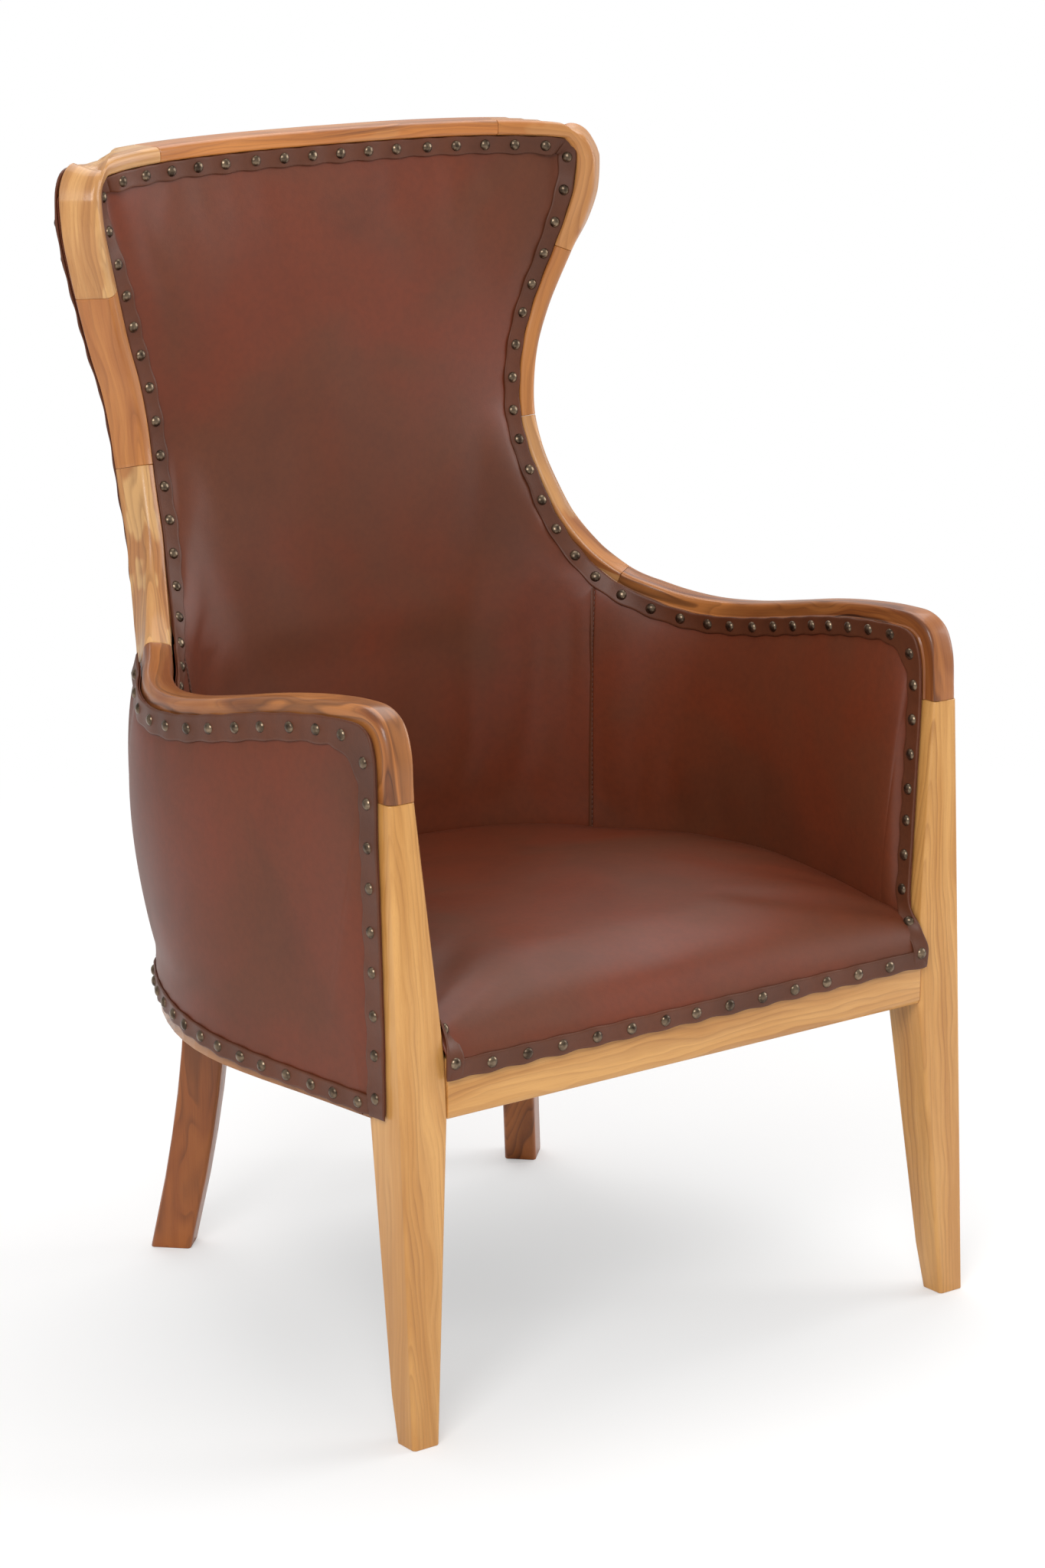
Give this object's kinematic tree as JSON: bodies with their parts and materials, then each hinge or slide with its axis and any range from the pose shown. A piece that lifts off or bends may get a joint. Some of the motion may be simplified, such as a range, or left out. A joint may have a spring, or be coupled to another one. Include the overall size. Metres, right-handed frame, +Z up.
{
  "type": "wingback armchair",
  "caption": "Free-standing wingback armchair with swept teak show-wood rails, tapered front legs, sabre rear legs and nailed leather upholstery.",
  "frame": {"origin": "centre of the bounding box on the floor, under the middle of the seat", "axes": "+Z up; -Y towards the front, where the sitter faces; +X to the right for someone who looks at the front"},
  "size_m": [0.7094, 0.6362, 1.0907],
  "materials": {
    "teak_light": "light straw-tan teak, straight grain, satin lacquer",
    "teak_warm": "warm orange-brown teak with figured grain and pale sapwood, satin lacquer",
    "teak_dark": "darker brown teak, satin lacquer",
    "frame_wood": "plain sawn hardwood of the hidden frame",
    "leather": "mottled oxblood-brown pull-up leather with a soft sheen",
    "gimp_leather": "folded leather strip, slightly darker, nailed",
    "foam": "upholstery foam under the leather",
    "webbing": "woven jute webbing",
    "dust_cloth": "black non-woven cloth"
  },
  "bodies": {
    "root": {"front_leg_right": "teak_light", "front_leg_left": "teak_light", "rear_leg_right": "teak_dark", "rear_leg_left": "teak_dark", "front_seat_rail": "teak_light", "side_seat_rail_right": "teak_warm", "side_seat_rail_left": "teak_warm", "back_seat_rail": "teak_warm", "arm_rail_right": "teak_warm", "arm_rail_left": "teak_warm", "wing_lower_right": "teak_warm", "wing_lower_left": "teak_warm", "wing_middle_right": "teak_warm", "wing_middle_left": "teak_warm", "wing_tip_right": "teak_warm", "wing_tip_left": "teak_warm", "top_rail": "teak_warm", "back_upright_right": "frame_wood", "back_upright_left": "frame_wood", "arm_tack_rail_right": "frame_wood", "arm_tack_rail_left": "frame_wood", "lower_back_rail": "frame_wood", "front_corner_block_right": "frame_wood", "front_corner_block_left": "frame_wood", "rear_corner_block_right": "frame_wood", "rear_corner_block_left": "frame_wood", "seat_webbing": "webbing", "seat_foam": "foam", "seat_cover": "leather", "arm_pad_right": "foam", "arm_pad_left": "foam", "inner_arm_cover_right": "leather", "inner_arm_cover_left": "leather", "back_pad": "foam", "inner_back_cover": "leather", "outer_arm_panel_right": "leather", "outer_arm_panel_left": "leather", "outer_back_panel": "leather", "inner_gimp_right": "gimp_leather", "inner_gimp_left": "gimp_leather", "top_gimp": "gimp_leather", "front_gimp": "gimp_leather", "outer_gimp_right": "gimp_leather", "outer_gimp_left": "gimp_leather", "back_gimp_right": "gimp_leather", "back_gimp_left": "gimp_leather", "side_hem_gimp_right": "gimp_leather", "side_hem_gimp_left": "gimp_leather", "back_hem_gimp": "gimp_leather", "dust_cover": "dust_cloth"}
  },
  "joints": []
}
